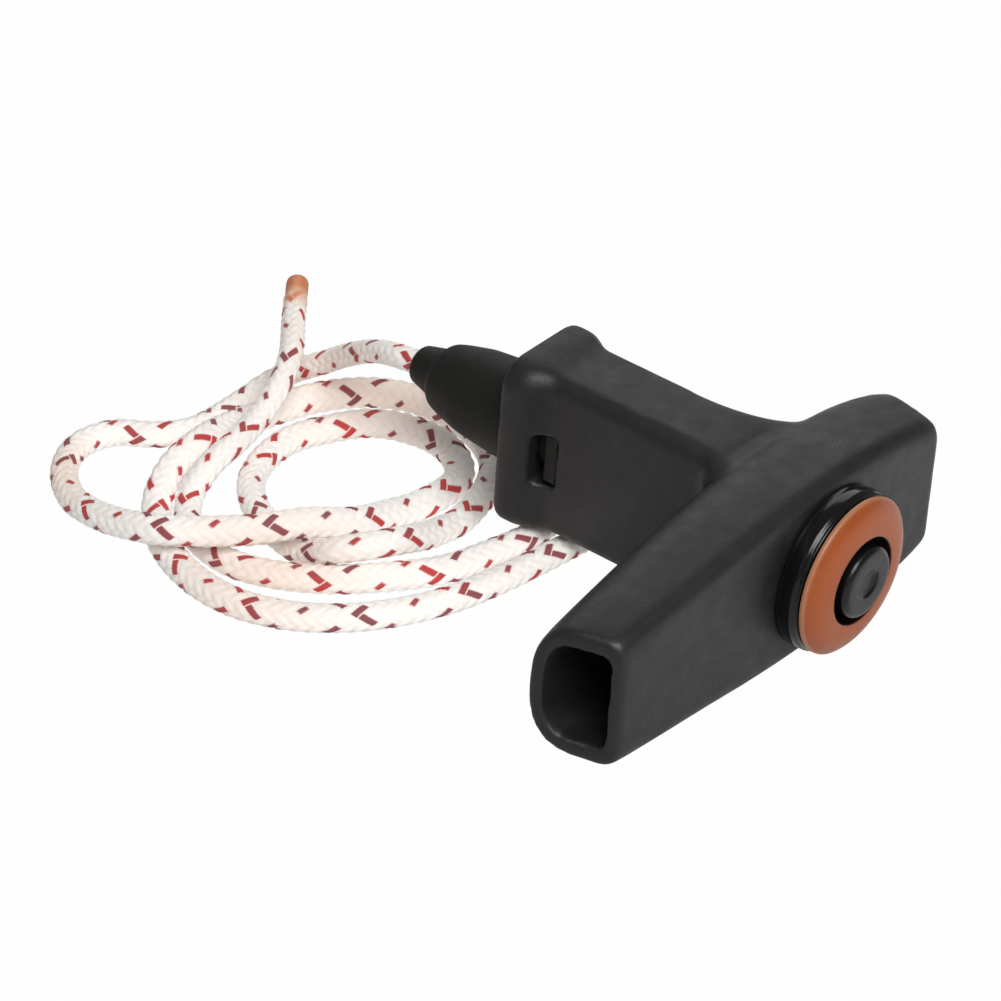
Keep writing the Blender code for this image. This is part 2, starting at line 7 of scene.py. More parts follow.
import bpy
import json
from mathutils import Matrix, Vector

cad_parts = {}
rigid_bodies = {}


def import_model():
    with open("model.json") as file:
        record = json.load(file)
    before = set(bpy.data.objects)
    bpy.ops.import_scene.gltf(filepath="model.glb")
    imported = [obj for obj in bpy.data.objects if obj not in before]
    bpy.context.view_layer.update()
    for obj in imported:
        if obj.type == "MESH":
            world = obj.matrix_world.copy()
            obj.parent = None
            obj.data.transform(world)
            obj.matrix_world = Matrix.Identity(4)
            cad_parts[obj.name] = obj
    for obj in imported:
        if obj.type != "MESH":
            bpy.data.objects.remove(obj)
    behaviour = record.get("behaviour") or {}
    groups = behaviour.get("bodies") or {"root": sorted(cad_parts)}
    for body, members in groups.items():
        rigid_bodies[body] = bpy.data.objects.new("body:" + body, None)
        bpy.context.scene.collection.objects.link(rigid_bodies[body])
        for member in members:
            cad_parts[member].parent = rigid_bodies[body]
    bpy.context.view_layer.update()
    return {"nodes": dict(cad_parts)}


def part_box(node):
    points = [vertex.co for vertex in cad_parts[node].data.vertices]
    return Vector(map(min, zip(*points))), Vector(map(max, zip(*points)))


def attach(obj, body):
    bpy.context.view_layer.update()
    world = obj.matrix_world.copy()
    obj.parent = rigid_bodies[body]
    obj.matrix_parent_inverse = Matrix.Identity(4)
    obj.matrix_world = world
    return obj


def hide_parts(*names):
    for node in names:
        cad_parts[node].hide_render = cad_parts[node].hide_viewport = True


bl_info = {
    "name": "Starter Rope Looks",
    "version": (1, 0, 0),
    "blender": (4, 5, 0),
    "location": "View3D > Sidebar > Starter Rope",
    "description": "Models the moulded handle, its rubbery guide and ring, and the braided rope",
    "category": "Object",
}

import json
import math

import bmesh
import bpy
import numpy as np
from mathutils import Matrix, Vector

MM = 0.001

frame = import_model()
NODES = frame["nodes"]

# Where the handle stands, as in the solids: the pull axis at the back face, nose a little up
RING_LOW, RING_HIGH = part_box("end_ring")
AXIS_X = (RING_LOW.x + RING_HIGH.x) / 2
AXIS_Y = -38.42 * MM
REST_HEIGHT = 16.116 * MM
NOSE_UP_ANGLE = math.radians(4.6)
HANDLE = Matrix.Translation((AXIS_X, AXIS_Y, REST_HEIGHT)) @ Matrix.Rotation(NOSE_UP_ANGLE, 4, "X")
# Turned pieces are modelled upright, with their axis along Z, and then laid along the pull axis
LAID = HANDLE @ Matrix.Rotation(math.radians(-90), 4, "X")

COLLAR_FACE = 60.8 * MM
NOSE_LENGTH = 25.1 * MM

# Route of the rope over the floor: X, Y and height of its middle in millimetres from the floor
# point under the pull axis at the handle's back face. It is the solids' route, except that the
# free end lies up to 0.8 mm lower.
ROPE_ROUTE_MM = [
    (0.5, 90, 22.4), (4, 98.5, 18.9), (7.3, 107.9, 13.3), (8.6, 115.3, 8.3), (6.9, 121.1, 5.1),
    (1.2, 124.4, 2.6), (-6.8, 124.4, 2.2), (-14.8, 124.9, 2.2), (-20.3, 128.9, 2.2),
    (-24.3, 134.9, 2.2), (-31.3, 136.9, 2.2), (-38.3, 133.9, 2.2), (-43.8, 127.9, 2.4),
    (-47.3, 120.4, 3), (-49.3, 110.9, 5), (-49.3, 102.4, 7), (-46.3, 95.9, 7.6), (-39.8, 87.9, 8),
    (-33.3, 83.4, 7.9), (-25.8, 79.9, 5.6), (-15.8, 78.9, 3), (-6.8, 77.4, 2.2), (0.2, 77.9, 2.2),
    (5.7, 81.9, 2.2), (8.7, 88.4, 2.2), (8.7, 95.4, 2.2), (6.2, 101.9, 2.2), (0.2, 106.4, 2.2),
    (-6.8, 109.4, 2.2), (-14.3, 108.9, 2.2), (-21.3, 105.9, 2.2), (-27.3, 99.9, 2.2),
    (-31.8, 91.4, 2.2), (-33.8, 84.4, 2.3), (-34.8, 79.9, 4), (-34.8, 75.4, 6.4),
    (-31.8, 71.4, 7.2), (-25.8, 68.9, 6.4), (-16.8, 68.9, 3.4), (-6.8, 69.9, 2.2),
    (1.7, 72.4, 2.2), (9.2, 76.9, 2.2), (14.7, 84.9, 2.2), (17.2, 93.4, 2.2), (17.2, 101.4, 2.2),
    (14.2, 108.4, 2.2), (8.2, 113.9, 2.2), (0.7, 117.4, 2.2), (-6.8, 118.9, 2.6),
    (-14.8, 117.9, 4.6), (-22.8, 115.9, 6.8), (-29.8, 115.9, 5.4), (-36.3, 113.9, 3),
    (-42.8, 108.4, 2.2), (-48.3, 100.4, 2.2), (-51.8, 91.4, 2.2), (-52.8, 82.4, 2.2),
    (-50.8, 73.9, 2.2), (-46.3, 66.4, 2.2), (-39.8, 60.4, 2.2), (-30.8, 55.4, 2.2),
    (-19.8, 52.4, 2.2), (-7.3, 50.4, 2.2), (5.2, 48.9, 2.2), (15.7, 47.9, 2.2), (22.7, 50.4, 2.2),
    (25.2, 55.4, 2.2), (21.2, 60.4, 2.2), (12.2, 60.4, 2.2), (2.7, 57.9, 2.2), (-5.3, 56.9, 2.2),
    (-13.3, 58.4, 2.2), (-22.8, 61.4, 2.2), (-29.8, 66.4, 2.2), (-37.8, 74.9, 2.2),
    (-42.3, 83.4, 2.2), (-43.8, 90.9, 2.2), (-42.3, 98.4, 2.2), (-38.8, 104.9, 2.2),
    (-33.3, 109.4, 3), (-26.8, 110.4, 6), (-19.8, 110.4, 7.4), (-11.8, 111.9, 8.2),
    (-5.3, 112.9, 11), (1.2, 115.9, 13), (10.2, 122.9, 13.6), (20.2, 130.4, 14.2),
]
# How the braid lies, by distance along it from the nose: width, thickness and how far its flat
# side turns over to face ROPE_LEAN
ROPE_FLATTENING = [
    (0.00, 4.4 * MM, 4.0 * MM, 0.0),
    (0.05, 4.4 * MM, 4.0 * MM, 0.4),
    (0.09, 4.7 * MM, 3.8 * MM, 0.8),
    (0.13, 5.3 * MM, 3.4 * MM, 0.9),
    (0.20, 5.2 * MM, 3.4 * MM, 0.8),
    (0.25, 4.8 * MM, 3.7 * MM, 0.5),
    (0.33, 5.0 * MM, 3.6 * MM, 0.7),
    (0.38, 5.4 * MM, 3.3 * MM, 0.9),
    (0.43, 5.2 * MM, 3.4 * MM, 0.8),
    (0.50, 4.9 * MM, 3.7 * MM, 0.6),
    (0.56, 4.4 * MM, 4.0 * MM, 0.5),
    (0.62, 5.0 * MM, 3.6 * MM, 0.8),
    (0.67, 4.5 * MM, 3.9 * MM, 0.5),
    (0.74, 4.1 * MM, 3.9 * MM, 0.0),
]
# Direction that the leaning rope's flat side faces: up, and to the side the photo was taken from
ROPE_LEAN = (-0.667, -0.531, 0.523)
# The rope's route begins in the guide, this far behind the nose's end, and its drawn part farther
# on; at the other end the last of the route is the sealed tip
ROUTE_BEHIND_NOSE = 8.0 * MM
UNDRAWN_ROUTE = 5.0 * MM
TIP_LENGTH = 5.5 * MM
# Where the rope's middle is lower than this, the rope lies flat on the floor, just clear of it
LYING_HEIGHT = 2.7 * MM
FLOOR_GAP = 0.02 * MM
# The braid: yarns that turn each way, crossings after which over two and under two repeats, how
# far a yarn falls away across and along its crown, and its mean height
YARNS_EACH_WAY = 8.0
CROSSINGS = 4.0
CROWN_FALL, ARCH_FALL = 0.85, 0.55
MEAN_HEIGHT = 0.62
# Where the coils shade each other, and how far round: the yarn is painted warmer and darker there
# as shade
PAINTED_SHADE_PLACES = [
    ((0.025, 0.0665, 0.004), 24.0 * MM),
    ((-0.033, 0.0435, 0.004), 20.0 * MM),
    ((-0.0296, 0.0933, 0.004), 14.0 * MM),
]
# A small scuff on top of the short wing, and its reach
SCUFF = (0.02186, -0.03317, 0.0325)
SCUFF_SIZE = 2.4 * MM

# Parts of the grip in the handle's own coordinates, both sides alike: the rims of the snap
# windows, which stay crisp, and the blends beside the neck, which are smoothed more
RIM_INSIDE = 5.0 * MM
RIM_BACK, RIM_FRONT = 48.6 * MM, 56.6 * MM
RIM_LOW, RIM_HIGH = -7.4 * MM, 5.9 * MM
BLEND_INSIDE, BLEND_OUTSIDE = 5.5 * MM, 26.0 * MM
BLEND_BACK, BLEND_FRONT = 8.0 * MM, 34.0 * MM
# Shares of the smoothing that they and the rest of the skin take
RIM_WEIGHT, SKIN_WEIGHT, BLEND_WEIGHT = 0.2, 1.0, 0.8
# Middle and size of the snap hook in the window on the +X side
HOOK_MIDDLE = (6.25 * MM, 51.4 * MM, -0.15 * MM)
HOOK_SIZE = (3.3 * MM, 2.4 * MM, 8.8 * MM)

# Points closer than this are one point, and edges that turn more than this look sharp
WELD_DISTANCE = 1e-6
SHARP_ANGLE = math.radians(38)
TIP_SHARP_ANGLE = math.radians(60)

# Soft boxes: name, place, the point each faces, power in watts and the length of a side
SOFT_BOXES = [
    ("front_soft_box", (-0.40, -0.62, 0.88), (0, 0.01, 0.01), 13.4, 0.7),
    ("back_soft_box", (0.80, 0.62, 0.68), (0, 0.0, 0.02), 2.3, 0.8),
    ("left_soft_box", (-1.0, -0.15, 0.65), (0, 0.02, 0.02), 0.3, 0.6),
]
WHITE = (1, 1, 1, 1)
AIR_LIGHT = 0.20
# Share of the floor's look that is its own glow and not lit paper: to the camera, to light that
# it throws on the object, and at most in what the object's shine shows of it
GLOW_SEEN, GLOW_THROWN, GLOW_MIRRORED = 0.985, 0.72, 0.95
# What the shine shows of the floor grows from nothing to that share between these places
RIGHTWARD = (0.78, -0.62, 0.0)
DARK_LEFT, BRIGHT_RIGHT = -0.03, 0.10


class StarterRopeStage(bpy.types.PropertyGroup):
    camera_azimuth: bpy.props.FloatProperty(
        name="Camera azimuth", description="Direction the camera looks in, round from +Y",
        default=math.radians(-51.456), subtype="ANGLE", unit="ROTATION")
    camera_elevation: bpy.props.FloatProperty(
        name="Camera elevation", description="Height of the camera over the horizon",
        default=math.radians(31.533), subtype="ANGLE", unit="ROTATION")
    camera_distance: bpy.props.FloatProperty(
        name="Camera distance", description="From the camera to the point that it looks at",
        default=0.9, subtype="DISTANCE", unit="LENGTH")
    camera_target: bpy.props.FloatVectorProperty(
        name="Camera target", description="Point that the camera looks at",
        default=(-0.01682, 0.00653, 0.02486), subtype="XYZ", unit="LENGTH")
    lens: bpy.props.FloatProperty(
        name="Lens", description="Focal length of the camera on a 36 mm sensor",
        default=198.21, subtype="DISTANCE_CAMERA")


class StarterRopeGrip(bpy.types.PropertyGroup):
    skin_detail: bpy.props.FloatProperty(
        name="Skin detail", description="Size of the grip's mesh faces",
        default=0.56 * MM, subtype="DISTANCE", unit="LENGTH")
    edge_softness: bpy.props.IntProperty(
        name="Edge softness", description="Rounds of smoothing that soften the moulded edges",
        default=5)
    color: bpy.props.FloatVectorProperty(
        name="Grip color", description="Matt black moulded plastic",
        default=(0.0078, 0.0078, 0.008), subtype="COLOR")


class StarterRopeFittings(bpy.types.PropertyGroup):
    segments: bpy.props.IntProperty(
        name="Segments", description="Steps round every turned piece", default=96)
    guide_color: bpy.props.FloatVectorProperty(
        name="Guide color", description="Black rubber of the rope guide",
        default=(0.0048, 0.0046, 0.0036), subtype="COLOR")
    seat_color: bpy.props.FloatVectorProperty(
        name="Seat color", description="Glossy black of the seat ring",
        default=(0.0035, 0.0035, 0.004), subtype="COLOR")
    ring_color: bpy.props.FloatVectorProperty(
        name="Ring color", description="Orange plastic of the end ring",
        default=(0.29, 0.062, 0.010), subtype="COLOR")
    stopper_color: bpy.props.FloatVectorProperty(
        name="Stopper color", description="Glossy dark plastic of the rope stopper",
        default=(0.003, 0.003, 0.0035), subtype="COLOR")


class StarterRopeCord(bpy.types.PropertyGroup):
    diameter: bpy.props.FloatProperty(
        name="Rope diameter", description="Mean thickness of the braid",
        default=4.2 * MM, subtype="DISTANCE", unit="LENGTH")
    rings: bpy.props.IntProperty(
        name="Rings", description="Sections along the rope", default=2700)
    sides: bpy.props.IntProperty(
        name="Sides", description="Points round each section", default=36)
    braid_pitch: bpy.props.FloatProperty(
        name="Braid pitch", description="Length along the rope of one turn of a yarn",
        default=18.5 * MM, subtype="DISTANCE", unit="LENGTH")
    relief: bpy.props.FloatProperty(
        name="Relief", description="Depth of the furrows between the yarns",
        default=0.34 * MM, subtype="DISTANCE", unit="LENGTH")
    yarn_color: bpy.props.FloatVectorProperty(
        name="Yarn color", description="White yarn", default=(0.94, 0.90, 0.86), subtype="COLOR")
    marker_color: bpy.props.FloatVectorProperty(
        name="Marker color", description="Red marker yarn",
        default=(0.50, 0.04, 0.036), subtype="COLOR")
    tip_color: bpy.props.FloatVectorProperty(
        name="Tip color", description="Amber of the melted yarn at the rope's end",
        default=(0.62, 0.20, 0.075), subtype="COLOR")


def deselect_all():
    for item in bpy.context.view_layer.objects:
        item.select_set(False)


def select_only(piece):
    deselect_all()
    piece.select_set(True)
    bpy.context.view_layer.objects.active = piece


def freeze(piece):
    """Put the piece's place into its mesh."""
    select_only(piece)
    bpy.ops.object.transform_apply(location=True, rotation=True, scale=True)


def turned_piece(name, outline, segments, ring=True):
    """A form turned about the pull axis, from (distance along it, radius, rounding) corners.

    A ring's outline closes on itself, and any other form is filled at both ends. The form is
    drawn upright from one circle and then laid along the axis.
    """
    deselect_all()
    profile = softened(outline, closed=ring)
    along, radius = profile[0]
    bpy.ops.mesh.primitive_circle_add(vertices=segments, radius=radius, location=(0, 0, along))
    piece = bpy.context.active_object
    piece.name = name
    bpy.ops.object.mode_set(mode="EDIT")
    bpy.ops.mesh.select_all(action="SELECT")
    if not ring:
        bpy.ops.mesh.duplicate()
        bpy.ops.mesh.edge_face_add()
        bpy.ops.mesh.poke()
        select_first_circle(piece)
    steps = profile[1:] + profile[:1] if ring else profile[1:]
    for next_along, next_radius in steps:
        bpy.ops.mesh.extrude_region_move(
            TRANSFORM_OT_translate={"value": (0.0, 0.0, next_along - along)})
        grow = next_radius / radius
        bpy.ops.transform.resize(value=(grow, grow, 1.0), center_override=(0.0, 0.0, next_along))
        along, radius = next_along, next_radius
    if not ring:
        bpy.ops.mesh.edge_face_add()
        bpy.ops.mesh.poke()
    bpy.ops.mesh.select_all(action="SELECT")
    bpy.ops.mesh.remove_doubles(threshold=WELD_DISTANCE)
    bpy.ops.mesh.normals_make_consistent(inside=False)
    bpy.ops.object.mode_set(mode="OBJECT")
    freeze(piece)
    piece.matrix_world = LAID
    freeze(piece)
    bpy.ops.object.shade_smooth_by_angle(angle=SHARP_ANGLE)
    return piece


def select_first_circle(piece):
    """In edit mode, select only the loose circle that the piece started from."""
    bpy.ops.mesh.select_all(action="DESELECT")
    mesh = bmesh.from_edit_mesh(piece.data)
    for vert in mesh.verts:
        vert.select_set(not vert.link_faces)
    mesh.select_flush_mode()
    for edge in mesh.edges:
        edge.select_set(not edge.link_faces)
    bmesh.update_edit_mesh(piece.data)


def rounded(start, corner, end, radius, steps=5):
    """Points of a corner's rounding, between the sides that run from start and on to end."""
    start, corner, end = (np.array(point, dtype=float) for point in (start, corner, end))
    before = (start - corner) / np.linalg.norm(start - corner)
    after = (end - corner) / np.linalg.norm(end - corner)
    first, last = corner + before * radius, corner + after * radius
    points = []
    for share in np.linspace(0, 1, steps):
        point = (1 - share) ** 2 * first + 2 * share * (1 - share) * corner + share ** 2 * last
        points.append((float(point[0]), float(point[1])))
    return points


def softened(outline, closed):
    """Points of an outline of (along, radius, rounding) corners, with its corners rounded."""
    count = len(outline)
    points = []
    for index, (along, radius, rounding) in enumerate(outline):
        if rounding == 0 or (not closed and index in (0, count - 1)):
            points.append((along, radius))
            continue
        before = outline[index - 1][:2]
        after = outline[(index + 1) % count][:2]
        points += rounded(before, (along, radius), after, rounding)
    return points


def shader_tree(name):
    material = bpy.data.materials.new(name)
    material.use_nodes = True
    tree = material.node_tree
    return material, tree, tree.nodes["Principled BSDF"]


def object_place(tree):
    """Coordinates of a place on the object, in the object's own space."""
    return tree.nodes.new("ShaderNodeTexCoord").outputs["Object"]


def noise(tree, place, scale, detail=3.0, roughness=0.5):
    texture = tree.nodes.new("ShaderNodeTexNoise")
    texture.inputs["Scale"].default_value = scale
    texture.inputs["Detail"].default_value = detail
    texture.inputs["Roughness"].default_value = roughness
    tree.links.new(place, texture.inputs["Vector"])
    return texture.outputs["Fac"]


def spread(tree, source, low, high, from_low=0.0, from_high=1.0):
    """Carry numbers from one range over to another, and hold them inside it."""
    reach = tree.nodes.new("ShaderNodeMapRange")
    reach.inputs["From Min"].default_value = from_low
    reach.inputs["From Max"].default_value = from_high
    reach.inputs["To Min"].default_value = low
    reach.inputs["To Max"].default_value = high
    tree.links.new(source, reach.inputs["Value"])
    return reach.outputs["Result"]


def blend_colors(tree, share, first, second, blend_type="MIX"):
    """Mix of two colours, each a constant or a socket, by a share that is a number or a socket."""
    mix = tree.nodes.new("ShaderNodeMix")
    mix.data_type = "RGBA"
    mix.blend_type = blend_type
    # The sockets of a mix of colours go by number, because those of other mixes share their names
    for socket, value in ((mix.inputs[0], share), (mix.inputs[6], first), (mix.inputs[7], second)):
        if isinstance(value, bpy.types.NodeSocket):
            tree.links.new(value, socket)
        elif isinstance(value, float):
            socket.default_value = value
        else:
            socket.default_value = (*value, 1.0)
    return mix.outputs[2]


def calculate(tree, operation, *values):
    """One step of arithmetic on numbers and sockets."""
    step = tree.nodes.new("ShaderNodeMath")
    step.operation = operation
    for socket, value in zip(step.inputs, values):
        if isinstance(value, bpy.types.NodeSocket):
            tree.links.new(value, socket)
        else:
            socket.default_value = value
    return step.outputs["Value"]


def measure(tree, operation, place, other=(0.0, 0.0, 0.0)):
    """The number that a vector operation gives for a place and a constant vector."""
    step = tree.nodes.new("ShaderNodeVectorMath")
    step.operation = operation
    step.inputs[1].default_value = other
    tree.links.new(place, step.inputs[0])
    return step.outputs["Value"]


def handle_place(tree):
    """Distance along the pull axis and away from it, of a place on a piece of the handle."""
    place = object_place(tree)
    turned = tree.nodes.new("ShaderNodeMapping")
    turned.vector_type = "TEXTURE"
    turned.inputs["Location"].default_value = HANDLE.translation
    turned.inputs["Rotation"].default_value = (NOSE_UP_ANGLE, 0.0, 0.0)
    tree.links.new(place, turned.inputs["Vector"])
    parts = tree.nodes.new("ShaderNodeSeparateXYZ")
    tree.links.new(turned.outputs["Vector"], parts.inputs["Vector"])
    flat = tree.nodes.new("ShaderNodeCombineXYZ")
    tree.links.new(parts.outputs["X"], flat.inputs["X"])
    tree.links.new(parts.outputs["Z"], flat.inputs["Z"])
    return parts.outputs["Y"], measure(tree, "LENGTH", flat.outputs["Vector"])


def bump(tree, shader, height, depth, strength=1.0):
    bumps = tree.nodes.new("ShaderNodeBump")
    bumps.inputs["Strength"].default_value = strength
    bumps.inputs["Distance"].default_value = depth
    tree.links.new(height, bumps.inputs["Height"])
    tree.links.new(bumps.outputs["Normal"], shader.inputs["Normal"])


def near_spot(tree, place, spot, size):
    """1 in the middle fifth of a blot round a spot of the object, falling to 0 at its edge."""
    apart = measure(tree, "DISTANCE", place, spot)
    return spread(tree, apart, 1.0, 0.0, from_low=0.2 * size, from_high=size)


def moulded_plastic(name, color, roughness, grain_size, grain_depth, lift=1.25, shine=0.5):
    """Moulded plastic: slight clouds in its colour and gloss, and a fine moulding grain."""
    material, tree, shader = shader_tree(name)
    place = object_place(tree)
    clouds = noise(tree, place, scale=90.0, detail=4.0, roughness=0.6)
    clouds = spread(tree, clouds, 0.0, 1.0, from_low=0.3, from_high=0.7)
    lighter = tuple(min(part * lift, 1.0) for part in color)
    darker = tuple(part / lift for part in color)
    tree.links.new(blend_colors(tree, clouds, darker, lighter), shader.inputs["Base Color"])
    handled = noise(tree, place, scale=260.0, detail=5.0, roughness=0.62)
    dulled = spread(
        tree, handled, roughness - 0.06, roughness + 0.07, from_low=0.3, from_high=0.7)
    tree.links.new(dulled, shader.inputs["Roughness"])
    grain = noise(tree, place, scale=1.0 / grain_size, detail=2.0)
    bump(tree, shader, grain, grain_depth)
    shader.inputs["Specular IOR Level"].default_value = shine
    return material, tree, shader


class STARTER_OT_stage(bpy.types.Operator):
    """Lay the floor, hang the lamps and set the camera."""
    bl_idname = "starter.stage"
    bl_label = "Stage"

    def execute(self, context):
        look = context.scene.starter_stage
        target = Vector(look.camera_target)
        turn, rise = look.camera_azimuth, look.camera_elevation
        back = Vector((
            math.sin(turn) * math.cos(rise), -math.cos(turn) * math.cos(rise), math.sin(rise)))
        deselect_all()
        bpy.ops.object.camera_add(location=target + back * look.camera_distance)
        camera = context.active_object
        camera.rotation_euler = (-back).to_track_quat("-Z", "Y").to_euler()
        camera.data.lens = look.lens
        camera.data.sensor_width = 36.0
        camera.data.clip_start = 0.01
        camera.data.clip_end = 20.0
        context.scene.camera = camera

        deselect_all()
        bpy.ops.mesh.primitive_plane_add(size=8.0, location=(0, 0, 0))
        floor = context.active_object
        floor.name = "studio_floor"
        floor.data.materials.append(pale_paper())

        for name, spot, aim, power, size in SOFT_BOXES:
            add_lamp(name, spot, aim, power, size)
        self.fill_air(context)
        context.scene.view_settings.view_transform = "Standard"
        return {"FINISHED"}

    def fill_air(self, context):
        """World that is white to the camera and lights the object faintly from all round."""
        world = bpy.data.worlds.new("studio_air")
        context.scene.world = world
        world.use_nodes = True
        tree = world.node_tree
        tree.nodes.clear()
        out = tree.nodes.new("ShaderNodeOutputWorld")
        mix = tree.nodes.new("ShaderNodeMixShader")
        rays = tree.nodes.new("ShaderNodeLightPath")
        glow = tree.nodes.new("ShaderNodeBackground")
        glow.inputs["Color"].default_value = WHITE
        glow.inputs["Strength"].default_value = AIR_LIGHT
        seen = tree.nodes.new("ShaderNodeBackground")
        seen.inputs["Color"].default_value = WHITE
        seen.inputs["Strength"].default_value = 1.0
        tree.links.new(rays.outputs["Is Camera Ray"], mix.inputs["Fac"])
        tree.links.new(glow.outputs[0], mix.inputs[1])
        tree.links.new(seen.outputs[0], mix.inputs[2])
        tree.links.new(mix.outputs[0], out.inputs["Surface"])


def add_lamp(name, spot, target, power, size):
    """A square soft box that hangs at a spot and faces a target."""
    deselect_all()
    bpy.ops.object.light_add(type="AREA", location=spot)
    lamp = bpy.context.active_object
    lamp.name = name
    lamp.data.shape = "SQUARE"
    lamp.data.size = size
    lamp.data.energy = power
    lamp.rotation_euler = (Vector(target) - Vector(spot)).to_track_quat("-Z", "Y").to_euler()


def pale_paper():
    """Paper that shows nearly white to the camera and keeps a faint shadow.

    Its glow also lights the object from below. In the object's shine it is dark on the left and
    bright on the right, which keeps the black mouldings' near edges dark.
    """
    material = bpy.data.materials.new("pale_paper")
    material.use_nodes = True
    tree = material.node_tree
    tree.nodes.clear()
    out = tree.nodes.new("ShaderNodeOutputMaterial")
    mix = tree.nodes.new("ShaderNodeMixShader")
    rays = tree.nodes.new("ShaderNodeLightPath")
    paper = tree.nodes.new("ShaderNodeBsdfDiffuse")
    paper.inputs["Color"].default_value = (0.45, 0.45, 0.45, 1)
    glow = tree.nodes.new("ShaderNodeEmission")
    glow.inputs["Color"].default_value = WHITE
    seen = calculate(tree, "MULTIPLY", rays.outputs["Is Camera Ray"], GLOW_SEEN)
    rightward = measure(tree, "DOT_PRODUCT", object_place(tree), RIGHTWARD)
    mirrored = spread(
        tree, rightward, 0.0, GLOW_MIRRORED, from_low=DARK_LEFT, from_high=BRIGHT_RIGHT)
    change = calculate(tree, "SUBTRACT", mirrored, GLOW_THROWN)
    unseen = calculate(
        tree, "MULTIPLY_ADD", rays.outputs["Is Glossy Ray"], change, GLOW_THROWN)
    tree.links.new(calculate(tree, "MAXIMUM", seen, unseen), mix.inputs["Fac"])
    tree.links.new(paper.outputs[0], mix.inputs[1])
    tree.links.new(glow.outputs[0], mix.inputs[2])
    tree.links.new(mix.outputs[0], out.inputs["Surface"])
    return material


class STARTER_OT_grip(bpy.types.Operator):
    """Give the moulded grip its soft edges and its matt black skin."""
    bl_idname = "starter.grip"
    bl_label = "Grip"

    def execute(self, context):
        look = context.scene.starter_grip
        select_only(NODES["grip_body"])
        bpy.ops.object.duplicate()
        grip = context.active_object
        grip.name = "moulded_grip"
        bpy.ops.object.mode_set(mode="EDIT")
        bpy.ops.mesh.select_all(action="SELECT")
        bpy.ops.mesh.remove_doubles(threshold=WELD_DISTANCE)
        bpy.ops.object.mode_set(mode="OBJECT")
        skin = grip.modifiers.new("Skin", "REMESH")
        skin.mode = "VOXEL"
        skin.voxel_size = look.skin_detail
        bpy.ops.object.modifier_apply(modifier=skin.name)
        self.mark_soft_skin(grip)
        for group, rounds in (("edges", look.edge_softness), ("blend", 5 * look.edge_softness)):
            soften = grip.modifiers.new("Soft " + group, "SMOOTH")
            soften.factor = 0.5
            soften.iterations = rounds
            soften.vertex_group = group
            bpy.ops.object.modifier_apply(modifier=soften.name)
        bpy.ops.object.shade_smooth()
        grip.data.materials.clear()
        grip.data.materials.append(grip_plastic(tuple(look.color)))
        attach(grip, "root")
        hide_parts("grip_body")
        return {"FINISHED"}

    def mark_soft_skin(self, grip):
        """Vertex groups: the whole skin, least at the windows' rims, and the neck's blends."""
        edges = grip.vertex_groups.new(name="edges")
        blend = grip.vertex_groups.new(name="blend")
        from_world = HANDLE.inverted()
        rims, rest, blends = [], [], []
        for vert in grip.data.vertices:
            place = from_world @ vert.co
            outward = abs(place.x)
            at_rim = outward > RIM_INSIDE and RIM_BACK < place.y < RIM_FRONT and (
                RIM_LOW < place.z < RIM_HIGH)
            (rims if at_rim else rest).append(vert.index)
            if BLEND_BACK < place.y < BLEND_FRONT and BLEND_INSIDE < outward < BLEND_OUTSIDE:
                blends.append(vert.index)
        edges.add(rims, RIM_WEIGHT, "REPLACE")
        edges.add(rest, SKIN_WEIGHT, "REPLACE")
        blend.add(blends, BLEND_WEIGHT, "REPLACE")


def grip_plastic(color):
    """Matt black plastic with a fine grain and one small scuff on its top."""
    material, tree, shader = moulded_plastic(
        "grip_plastic", color, roughness=0.48, grain_size=0.5 * MM, grain_depth=0.045 * MM)
    plain = shader.inputs["Base Color"].links[0].from_socket
    place = object_place(tree)
    scuff = near_spot(tree, place, SCUFF, SCUFF_SIZE)
    scratches = noise(tree, place, scale=2200.0)
    scratches = spread(tree, scratches, 0.0, 1.0, from_low=0.5, from_high=0.62)
    scuff = calculate(tree, "MULTIPLY", scuff, scratches)
    rubbed_grey = (0.055, 0.055, 0.055)
    tree.links.new(blend_colors(tree, scuff, plain, rubbed_grey), shader.inputs["Base Color"])
    return material


